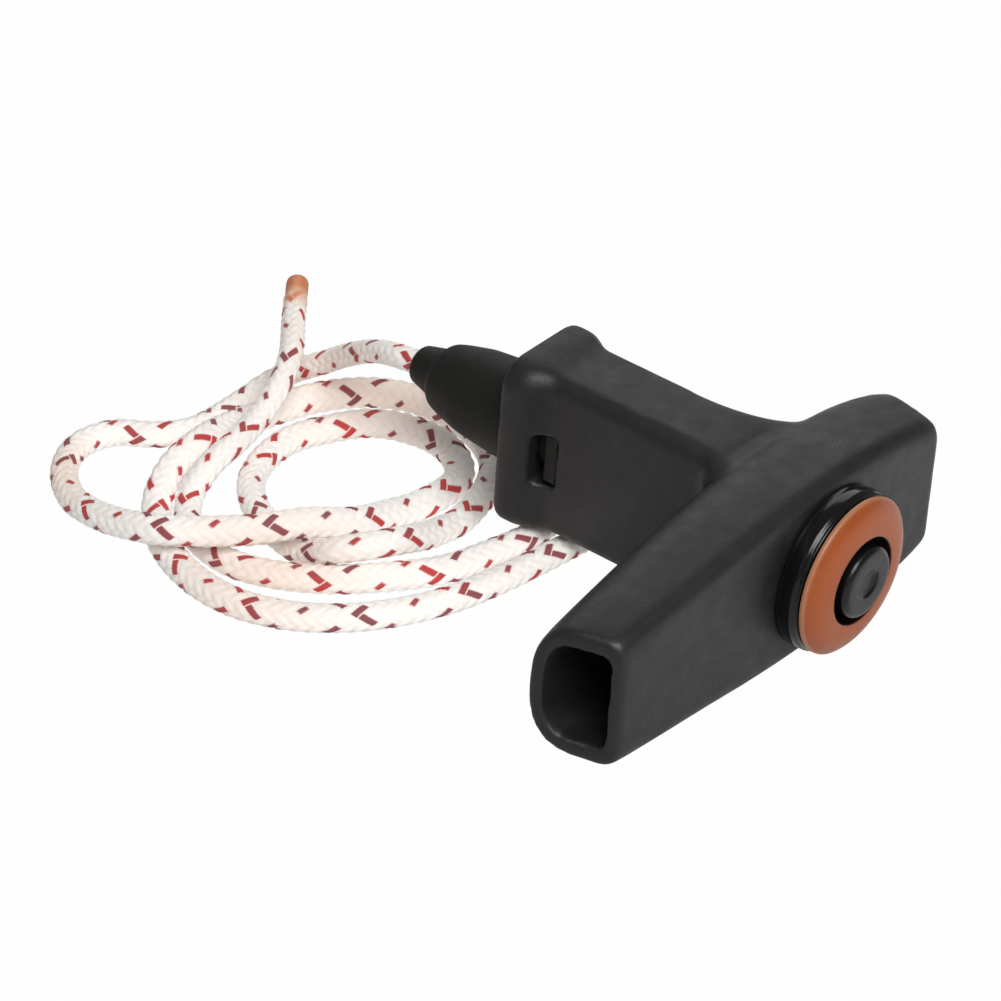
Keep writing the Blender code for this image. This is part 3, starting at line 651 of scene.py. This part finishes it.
class STARTER_OT_rope_guide(bpy.types.Operator):
    """Turn the rubbery rope guide and set its snap hooks in the windows."""
    bl_idname = "starter.rope_guide"
    bl_label = "Rope guide"

    def execute(self, context):
        look = context.scene.starter_fittings
        face = COLLAR_FACE
        outline = [
            (face - 14.7 * MM, 2.4 * MM, 0),
            (face - 14.7 * MM, 6.2 * MM, 0.8 * MM),
            (face - 0.5 * MM, 6.2 * MM, 0),
            (face - 0.5 * MM, 8.8 * MM, 0),
            (face + 4.8 * MM, 8.5 * MM, 1.2 * MM),
            (face + 9.6 * MM, 8.05 * MM, 1.2 * MM),
            (face + 12.4 * MM, 7.75 * MM, 1.0 * MM),
            (face + 17.6 * MM, 6.45 * MM, 1.2 * MM),
            (face + 19.3 * MM, 5.8 * MM, 0.7 * MM),
            (face + 20.3 * MM, 4.5 * MM, 0.6 * MM),
            (face + 24.6 * MM, 3.4 * MM, 0.4 * MM),
            (face + NOSE_LENGTH, 2.9 * MM, 0.2 * MM),
            (face + NOSE_LENGTH, 2.4 * MM, 0),
        ]
        guide = turned_piece("rubber_guide", outline, look.segments)
        guide.data.materials.append(moulded_plastic(
            "guide_rubber", tuple(look.guide_color), roughness=0.6, grain_size=0.4 * MM,
            grain_depth=0.03 * MM, shine=0.36)[0])
        for side in (-1, 1):
            self.add_hook(guide, side)
        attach(guide, "root")
        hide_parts("nose_guide")
        return {"FINISHED"}

    def add_hook(self, guide, side):
        """A rounded snap hook that shows in the window on one side of the neck."""
        deselect_all()
        across, along, up = HOOK_MIDDLE
        bpy.ops.mesh.primitive_cube_add(size=1.0, location=(side * across, along, up))
        hook = bpy.context.active_object
        hook.scale = HOOK_SIZE
        freeze(hook)
        bpy.ops.object.mode_set(mode="EDIT")
        bpy.ops.mesh.select_all(action="SELECT")
        bpy.ops.mesh.bevel(offset=0.25 * MM, segments=3, affect="EDGES")
        bpy.ops.mesh.normals_make_consistent(inside=False)
        bpy.ops.object.mode_set(mode="OBJECT")
        hook.matrix_world = HANDLE
        freeze(hook)
        bpy.ops.object.shade_smooth_by_angle(angle=SHARP_ANGLE)
        hook.data.materials.append(guide.data.materials[0])
        guide.select_set(True)
        hook.select_set(True)
        bpy.context.view_layer.objects.active = guide
        bpy.ops.object.join()


class STARTER_OT_back_end(bpy.types.Operator):
    """Turn the seat ring, the orange end ring and the rope stopper."""
    bl_idname = "starter.back_end"
    bl_label = "Back end"

    def execute(self, context):
        look = context.scene.starter_fittings
        seat = turned_piece("seat_ring_glossy", [
            (-4.3 * MM, 6.7 * MM, 0), (-4.3 * MM, 13.9 * MM, 0.2 * MM),
            (-3.7 * MM, 14.0 * MM, 0.2 * MM), (-3.2 * MM, 14.4 * MM, 0.4 * MM),
            (-1.6 * MM, 14.4 * MM, 0.5 * MM), (-0.9 * MM, 14.2 * MM, 0.4 * MM),
            (-0.3 * MM, 14.3 * MM, 0.2 * MM), (-0.3 * MM, 9.3 * MM, 0),
            (3.7 * MM, 9.3 * MM, 0), (3.7 * MM, 6.7 * MM, 0),
        ], look.segments)
        seat.data.materials.append(moulded_plastic(
            "seat_plastic", tuple(look.seat_color), roughness=0.16, grain_size=1.6 * MM,
            grain_depth=0.02 * MM, shine=0.36)[0])
        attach(seat, "root")
        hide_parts("seat_ring")

        ring = turned_piece("end_ring_orange", [
            (-4.6 * MM, 7.8 * MM, 0), (-4.6 * MM, 14.0 * MM, 0.25 * MM),
            (-5.3 * MM, 14.0 * MM, 0.25 * MM), (-5.75 * MM, 13.5 * MM, 0.3 * MM),
            (-6.5 * MM, 12.5 * MM, 0.7 * MM), (-7.15 * MM, 10.9 * MM, 0.8 * MM),
            (-7.4 * MM, 9.2 * MM, 0.6 * MM), (-7.4 * MM, 7.8 * MM, 0.35 * MM),
        ], look.segments)
        ring.data.materials.append(ring_plastic(tuple(look.ring_color)))
        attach(ring, "root")
        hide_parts("end_ring")

        stopper = turned_piece("stopper_glossy", [
            (-7.9 * MM, 0.5 * MM, 0), (-7.9 * MM, 1.5 * MM, 0.3 * MM),
            (-8.2 * MM, 2.3 * MM, 0.3 * MM), (-8.6 * MM, 2.7 * MM, 0.2 * MM),
            (-8.6 * MM, 5.7 * MM, 0.5 * MM), (-7.9 * MM, 6.4 * MM, 0.4 * MM),
            (7.7 * MM, 6.4 * MM, 0), (7.7 * MM, 2.4 * MM, 0), (0.0, 2.4 * MM, 0),
        ], look.segments, ring=False)
        stopper.data.materials.append(moulded_plastic(
            "stopper_plastic", tuple(look.stopper_color), roughness=0.27, grain_size=1.2 * MM,
            grain_depth=0.05 * MM, shine=0.36)[0])
        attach(stopper, "root")
        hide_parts("rope_stopper")
        return {"FINISHED"}


def ring_plastic(color):
    """Orange plastic: painted highlights on a pale rim and a brighter dome, and painted shade on
    the wall round the stopper.
    """
    material, tree, shader = moulded_plastic(
        "ring_plastic", color, roughness=0.40, grain_size=0.9 * MM, grain_depth=0.02 * MM,
        lift=1.08, shine=0.36)
    shader.inputs["Coat Weight"].default_value = 0.1
    shader.inputs["Coat Roughness"].default_value = 0.15
    plain = shader.inputs["Base Color"].links[0].from_socket
    along, reach = handle_place(tree)
    # Colour of the painted highlight on the dome
    bright = tuple(min(1.25 * part, 1.0) for part in color)
    painted_rim_highlight = (0.42, 0.23, 0.13)
    painted_well_shade = (0.012, 0.005, 0.004)
    # Painted highlight: the dome is painted brighter where light falls on it
    dome = spread(tree, along, 0.0, 0.5, from_low=-6.2 * MM, from_high=-6.9 * MM)
    paint = blend_colors(tree, dome, plain, bright)
    # Painted highlight: a pale band round the rim, where light grazes its edge
    rim = spread(tree, along, 0.0, 0.55, from_low=-5.7 * MM, from_high=-5.3 * MM)
    paint = blend_colors(tree, rim, paint, painted_rim_highlight)
    # Painted shade: the wall round the stopper is painted nearly black
    well = spread(tree, reach, 1.0, 0.0, from_low=7.9 * MM, from_high=8.05 * MM)
    tree.links.new(blend_colors(tree, well, paint, painted_well_shade), shader.inputs["Base Color"])
    return material


def smooth_curve(points, steps):
    """Centripetal Catmull-Rom curve through the points, with this many steps to each span."""
    points = np.asarray(points, dtype=float)
    padded = np.vstack([2 * points[0] - points[1], points, 2 * points[-1] - points[-2]])
    curve = []
    for first in range(len(points) - 1):
        p0, p1, p2, p3 = padded[first:first + 4]
        t1 = math.sqrt(np.linalg.norm(p1 - p0))
        t2 = t1 + math.sqrt(np.linalg.norm(p2 - p1))
        t3 = t2 + math.sqrt(np.linalg.norm(p3 - p2))
        for t in np.linspace(t1, t2, steps, endpoint=False):
            a1 = ((t1 - t) * p0 + t * p1) / t1
            a2 = ((t2 - t) * p1 + (t - t1) * p2) / (t2 - t1)
            a3 = ((t3 - t) * p2 + (t - t2) * p3) / (t3 - t2)
            b1 = ((t2 - t) * a1 + t * a2) / t2
            b2 = ((t3 - t) * a2 + (t - t1) * a3) / (t3 - t1)
            curve.append(((t2 - t) * b1 + (t - t1) * b2) / (t2 - t1))
    curve.append(points[-1])
    return np.array(curve)


def nose_point(distance):
    """World point on the pull axis at a distance from the back face."""
    return np.array(HANDLE @ Vector((0, distance, 0)))


def even_out(row, rounds):
    """Smooth a row of places or heights where it stands, with both its ends held."""
    for _ in range(rounds):
        row[1:-1] = 0.5 * row[1:-1] + 0.25 * (row[:-2] + row[2:])


def rope_line(rings):
    """Middle of the braid at even steps, their distances past the nose, and the tip's far end."""
    nose_end = COLLAR_FACE + NOSE_LENGTH
    points = [nose_point(nose_end - ROUTE_BEHIND_NOSE), nose_point(nose_end)]
    points += [np.array((AXIS_X + x * MM, AXIS_Y + y * MM, z * MM)) for x, y, z in ROPE_ROUTE_MM]
    curve = smooth_curve(points, steps=60)
    even_out(curve, rounds=120)
    lengths = np.concatenate([[0.0], np.cumsum(np.linalg.norm(np.diff(curve, axis=0), axis=1))])
    marks = np.linspace(UNDRAWN_ROUTE, lengths[-1] - TIP_LENGTH, rings)
    line = np.stack([np.interp(marks, lengths, curve[:, axis]) for axis in range(3)], axis=1)
    return line, marks - ROUTE_BEHIND_NOSE, curve[-1]


def braid(around, along, pitch):
    """Height of the yarns at places on the rope's skin, from nearly 0 in a furrow to 1 on a crown.

    Sixteen yarns, eight each way, pass over two and under two. around is in turns, and along
    and pitch are lengths.
    """
    first = YARNS_EACH_WAY * (around - along / pitch)
    second = YARNS_EACH_WAY * (around + along / pitch)
    row, column = np.floor(first), np.floor(second)
    step = np.mod(row + column, CROSSINGS)
    first_on_top = step < CROSSINGS / 2
    across = np.where(first_on_top, first - row, second - column) - 0.5
    travel = np.where(first_on_top, (step + second - column) / 2, (step - 2 + first - row) / 2)
    crown = 1.0 - (2.0 * across) ** 2 * CROWN_FALL
    arch = 1.0 - (2.0 * travel - 1.0) ** 2 * ARCH_FALL
    return crown * arch


class STARTER_OT_rope(bpy.types.Operator):
    """Braid the rope along its route and seal its free end."""
    bl_idname = "starter.rope"
    bl_label = "Rope"

    def execute(self, context):
        look = context.scene.starter_cord
        line, along, end = rope_line(look.rings)
        heading = np.gradient(line, axis=0)
        heading /= np.linalg.norm(heading, axis=1)[:, None]
        sideways = np.cross(heading, (0.0, 0.0, 1.0))
        sideways /= np.linalg.norm(sideways, axis=1)[:, None]
        upward = np.cross(sideways, heading)
        stations, *measures = zip(*ROPE_FLATTENING)
        widths, heights, leans = (np.interp(along, stations, values) for values in measures)
        # The section wavers slowly and quickly along the rope, thinner where it is wider
        slow, quick = 0.031, 0.0117
        waver = 0.5 * np.sin(along / slow) + 0.5 * np.sin(along / quick + 1.0)
        widths = widths + 0.12 * MM * waver
        heights = heights - 0.05 * MM * waver
        faced = np.arctan2(upward @ np.array(ROPE_LEAN), sideways @ np.array(ROPE_LEAN))
        tilt = leans * (faced - math.pi / 2)
        rise = np.sqrt((widths / 2 * np.sin(tilt)) ** 2 + (heights / 2 * np.cos(tilt)) ** 2)
        on_floor = line[:, 2] < LYING_HEIGHT
        line[:, 2] = np.where(on_floor, rise + FLOOR_GAP, line[:, 2])
        even_out(line[:, 2], rounds=60)

        turns = np.arange(look.sides) / look.sides
        around = np.broadcast_to(turns, (look.rings, look.sides))
        down = np.broadcast_to(along[:, None], around.shape)
        height = braid(around, down, look.braid_pitch)
        angle = 2 * math.pi * turns[None, :] + (np.unwrap(faced) - tilt)[:, None]
        scale = 1.0 + (height - MEAN_HEIGHT) * (look.relief / (look.diameter / 2))
        reach_wide = np.cos(angle) * (widths / 2)[:, None] * scale
        reach_thin = np.sin(angle) * (heights / 2)[:, None] * scale
        cosine, sine = np.cos(tilt)[:, None], np.sin(tilt)[:, None]
        wide = sideways * cosine + upward * sine
        thin = upward * cosine - sideways * sine
        verts = line[:, None, :] + wide[:, None, :] * reach_wide[:, :, None]
        verts = verts + thin[:, None, :] * reach_thin[:, :, None]
        verts[:, :, 2] = np.maximum(verts[:, :, 2], FLOOR_GAP)
        rope = self.weave_mesh(look, verts.reshape(-1, 3), along)
        rope.data.materials.append(braided_yarn(look, line[-1]))
        tip = self.seal_end(look, line[-1], end)
        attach(rope, "root")
        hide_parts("rope")
        return {"FINISHED"}

    def weave_mesh(self, look, verts, along):
        """The rope's tube, closed at both ends, with a UV map of turns round and metres along."""
        rings, sides = look.rings, look.sides
        ring = np.arange(rings - 1)[:, None] * sides
        side = np.arange(sides)[None, :]
        following = (side + 1) % sides
        quads = np.stack([
            ring + side, ring + following, ring + sides + following, ring + sides + side], axis=-1)
        quads = quads.reshape(-1, 4)
        mesh = bpy.data.meshes.new("braided_rope")
        caps = [list(range(sides))[::-1], [(rings - 1) * sides + index for index in range(sides)]]
        mesh.from_pydata([tuple(vert) for vert in verts], [], quads.tolist() + caps)
        mesh.update()
        rope = bpy.data.objects.new("braided_rope", mesh)
        bpy.context.scene.collection.objects.link(rope)
        turn = np.broadcast_to(
            np.stack([side, side + 1, side + 1, side], axis=-1) / sides, (rings - 1, sides, 4))
        down = np.stack([along[:-1], along[:-1], along[1:], along[1:]], axis=-1)[:, None, :]
        places = np.stack([turn, np.broadcast_to(down, turn.shape)], axis=-1).reshape(-1, 2)
        cap_places = [(corner / sides, along[end]) for end in (0, -1) for corner in range(sides)]
        skin = mesh.uv_layers.new(name="skin")
        skin.data.foreach_set("uv", np.vstack([places, cap_places]).astype(np.float32).ravel())
        select_only(rope)
        bpy.ops.object.mode_set(mode="EDIT")
        bpy.ops.mesh.select_all(action="SELECT")
        bpy.ops.mesh.normals_make_consistent(inside=False)
        bpy.ops.object.mode_set(mode="OBJECT")
        bpy.ops.object.shade_smooth()
        return rope

    def seal_end(self, look, start, end):
        """The rope's melted end: a round cap that starts a little inside the braid."""
        overlap_mm = 0.8
        direction = Vector(end) - Vector(start)
        start = Vector(start) - direction.normalized() * overlap_mm * MM
        length = (Vector(end) - start).length
        deselect_all()
        bpy.ops.mesh.primitive_cylinder_add(
            vertices=40, radius=1.98 * MM, depth=length, end_fill_type="NGON",
            location=(start + Vector(end)) / 2)
        tip = bpy.context.active_object
        tip.name = "sealed_end"
        tip.rotation_euler = direction.to_track_quat("Z", "Y").to_euler()
        bpy.ops.object.mode_set(mode="EDIT")
        bpy.ops.mesh.select_all(action="SELECT")
        bpy.ops.mesh.bevel(offset=0.5 * MM, segments=4, affect="EDGES")
        bpy.ops.mesh.subdivide(number_cuts=2)
        bpy.ops.object.mode_set(mode="OBJECT")
        freeze(tip)
        bpy.ops.object.shade_smooth_by_angle(angle=TIP_SHARP_ANGLE)
        tip.data.materials.append(melted_yarn(look, start, length))
        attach(tip, "root")
        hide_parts("sealed_rope_tip")
        return tip


def braid_nodes(tree, pitch):
    """The braid of braid(), worked out on the rope's UV map of turns round and metres along.

    Gives where a yarn's crown is, where its fleck of marker shows, and the yarn's number. One
    yarn of those that turn one way shows short flecks, and one of each way long ones.
    """
    skin = tree.nodes.new("ShaderNodeUVMap")
    skin.uv_map = "skin"
    parts = tree.nodes.new("ShaderNodeSeparateXYZ")
    tree.links.new(skin.outputs["UV"], parts.inputs["Vector"])
    around = calculate(tree, "MULTIPLY", parts.outputs["X"], YARNS_EACH_WAY)
    along = calculate(tree, "MULTIPLY", parts.outputs["Y"], YARNS_EACH_WAY / pitch)
    first = calculate(tree, "SUBTRACT", around, along)
    second = calculate(tree, "ADD", around, along)
    row, column = calculate(tree, "FLOOR", first), calculate(tree, "FLOOR", second)
    in_row = calculate(tree, "SUBTRACT", first, row)
    in_column = calculate(tree, "SUBTRACT", second, column)
    step = calculate(tree, "FLOORED_MODULO", calculate(tree, "ADD", row, column), CROSSINGS)
    under = calculate(tree, "GREATER_THAN", step, (CROSSINGS - 1.0) / 2)

    def either(on_top, below):
        """The first yarn's value where it is on top, and else the second's."""
        apart = calculate(tree, "SUBTRACT", below, on_top)
        return calculate(tree, "MULTIPLY_ADD", apart, under, on_top)

    ragged = noise(tree, skin.outputs["UV"], scale=900.0, detail=2.0, roughness=0.6)
    ragged = spread(tree, ragged, -0.16, 0.16)
    across = calculate(tree, "SUBTRACT", either(in_row, in_column), 0.5)
    across = calculate(tree, "ABSOLUTE", across)
    frayed = calculate(tree, "ADD", across, ragged)
    start = calculate(tree, "MULTIPLY_ADD", under, -2.0, step)
    travel = calculate(tree, "ADD", start, either(in_column, in_row))
    travel = calculate(tree, "ABSOLUTE", calculate(tree, "MULTIPLY_ADD", travel, 0.5, -0.5))
    strand = calculate(tree, "FLOORED_MODULO", either(row, column), YARNS_EACH_WAY)
    lone_strand, paired_strand = 4.0, 0.0
    narrow = spread(tree, frayed, 1.0, 0.0, from_low=0.24, from_high=0.42)
    short = spread(tree, travel, 1.0, 0.0, from_low=0.22, from_high=0.38)
    broad = spread(tree, frayed, 1.0, 0.0, from_low=0.34, from_high=0.48)
    long = spread(tree, travel, 1.0, 0.0, from_low=0.46, from_high=0.52)
    lone = calculate(tree, "COMPARE", strand, lone_strand, 0.5)
    lone = calculate(tree, "SUBTRACT", lone, under)
    lone = calculate(tree, "MULTIPLY", calculate(tree, "MULTIPLY", lone, short), narrow)
    paired = calculate(tree, "LESS_THAN", strand, paired_strand + 0.5)
    paired = calculate(tree, "MULTIPLY", calculate(tree, "MULTIPLY", paired, long), broad)
    fleck = calculate(tree, "MAXIMUM", paired, lone)
    crown = calculate(
        tree, "MULTIPLY", spread(tree, across, 1.0, 0.0, from_low=0.2, from_high=0.5),
        spread(tree, travel, 1.0, 0.35, from_low=0.2, from_high=0.5))
    return crown, fleck, strand


def braided_yarn(look, end):
    """White yarn with red marker flecks, and a pinkish painted shade in its furrows and where the
    coils shade it.
    """
    material, tree, shader = shader_tree("rope_yarn")
    place = object_place(tree)
    yarn, red = tuple(look.yarn_color), tuple(look.marker_color)
    dull_yarn = tuple(0.95 * part for part in yarn)
    # Colours of painted shade: in the furrows between the yarns, and where the coils shade the
    # yarn
    painted_furrow_shade, coil_shade_color = (0.88, 0.77, 0.70), (0.97, 0.84, 0.76)
    faded_red, scorched_color = (0.22, 0.065, 0.075), (0.72, 0.36, 0.17)
    scorch_reach = 5.5 * MM

    crown, fleck, strand = braid_nodes(tree, look.braid_pitch)
    dull = spread(tree, strand, 0.0, 1.0, from_high=YARNS_EACH_WAY - 1.0)
    paint = blend_colors(tree, dull, yarn, dull_yarn)
    # Painted shade in the furrows between the yarns
    furrow = spread(tree, crown, 0.6, 0.0, from_high=0.6)
    paint = blend_colors(tree, furrow, paint, painted_furrow_shade)
    # Painted shade where the coils shade each other
    for spot, size in PAINTED_SHADE_PLACES:
        warm = calculate(tree, "MULTIPLY", near_spot(tree, place, spot, size), 0.8)
        paint = blend_colors(tree, warm, paint, coil_shade_color, "MULTIPLY")
    faded = noise(tree, place, scale=60.0, detail=2.0)
    faded = spread(tree, faded, 0.0, 0.9, from_low=0.42, from_high=0.56)
    paint = blend_colors(tree, fleck, paint, blend_colors(tree, faded, red, faded_red))
    scorched = near_spot(tree, place, tuple(end), scorch_reach)
    tree.links.new(
        blend_colors(tree, scorched, paint, scorched_color), shader.inputs["Base Color"])
    shader.inputs["Roughness"].default_value = 0.75
    shader.inputs["Sheen Weight"].default_value = 0.15
    shader.inputs["Sheen Roughness"].default_value = 0.4
    fibres = noise(tree, place, scale=3600.0, detail=2.0, roughness=0.6)
    bump(tree, shader, fibres, 0.06 * MM, strength=0.8)
    return material


def melted_yarn(look, start, length):
    """Yarn melted to amber at the very end, creamy where the braid begins."""
    material, tree, shader = shader_tree("sealed_yarn")
    place = object_place(tree)
    cream, amber = (0.80, 0.60, 0.42), tuple(look.tip_color)
    apart = measure(tree, "DISTANCE", place, tuple(start))
    melted = spread(tree, apart, 0.0, 1.0, from_low=0.1 * length, from_high=0.55 * length)
    tree.links.new(blend_colors(tree, melted, cream, amber), shader.inputs["Base Color"])
    shader.inputs["Roughness"].default_value = 0.35
    lumps = noise(tree, place, scale=700.0, roughness=0.6)
    bump(tree, shader, lumps, 0.12 * MM)
    return material


class STARTER_PT_looks(bpy.types.Panel):
    """Sizes, colours and operators of the starter rope"""
    bl_label = "Starter Rope"
    bl_idname = "STARTER_PT_looks"
    bl_space_type = "VIEW_3D"
    bl_region_type = "UI"
    bl_category = "Starter Rope"

    def draw(self, context):
        column = self.layout.column()
        for name in PROPERTY_GROUPS:
            group = getattr(context.scene, name)
            for prop in group.__annotations__:
                column.prop(group, prop)
        for operator in OPERATORS:
            column.operator(operator.bl_idname)


PROPERTY_GROUPS = {
    "starter_stage": StarterRopeStage,
    "starter_grip": StarterRopeGrip,
    "starter_fittings": StarterRopeFittings,
    "starter_cord": StarterRopeCord,
}
OPERATORS = (
    STARTER_OT_stage,
    STARTER_OT_rope,
    STARTER_OT_grip,
    STARTER_OT_rope_guide,
    STARTER_OT_back_end,
)


def register():
    for group in PROPERTY_GROUPS.values():
        bpy.utils.register_class(group)
    for operator in OPERATORS:
        bpy.utils.register_class(operator)
    bpy.utils.register_class(STARTER_PT_looks)
    for name, group in PROPERTY_GROUPS.items():
        setattr(bpy.types.Scene, name, bpy.props.PointerProperty(type=group))


def unregister():
    for name in PROPERTY_GROUPS:
        delattr(bpy.types.Scene, name)
    bpy.utils.unregister_class(STARTER_PT_looks)
    for operator in reversed(OPERATORS):
        bpy.utils.unregister_class(operator)
    for group in PROPERTY_GROUPS.values():
        bpy.utils.unregister_class(group)


def main():
    register()
    bpy.ops.starter.stage()
    bpy.ops.starter.rope()
    bpy.ops.starter.grip()
    bpy.ops.starter.rope_guide()
    bpy.ops.starter.back_end()


if __name__ == "__main__":
    main()
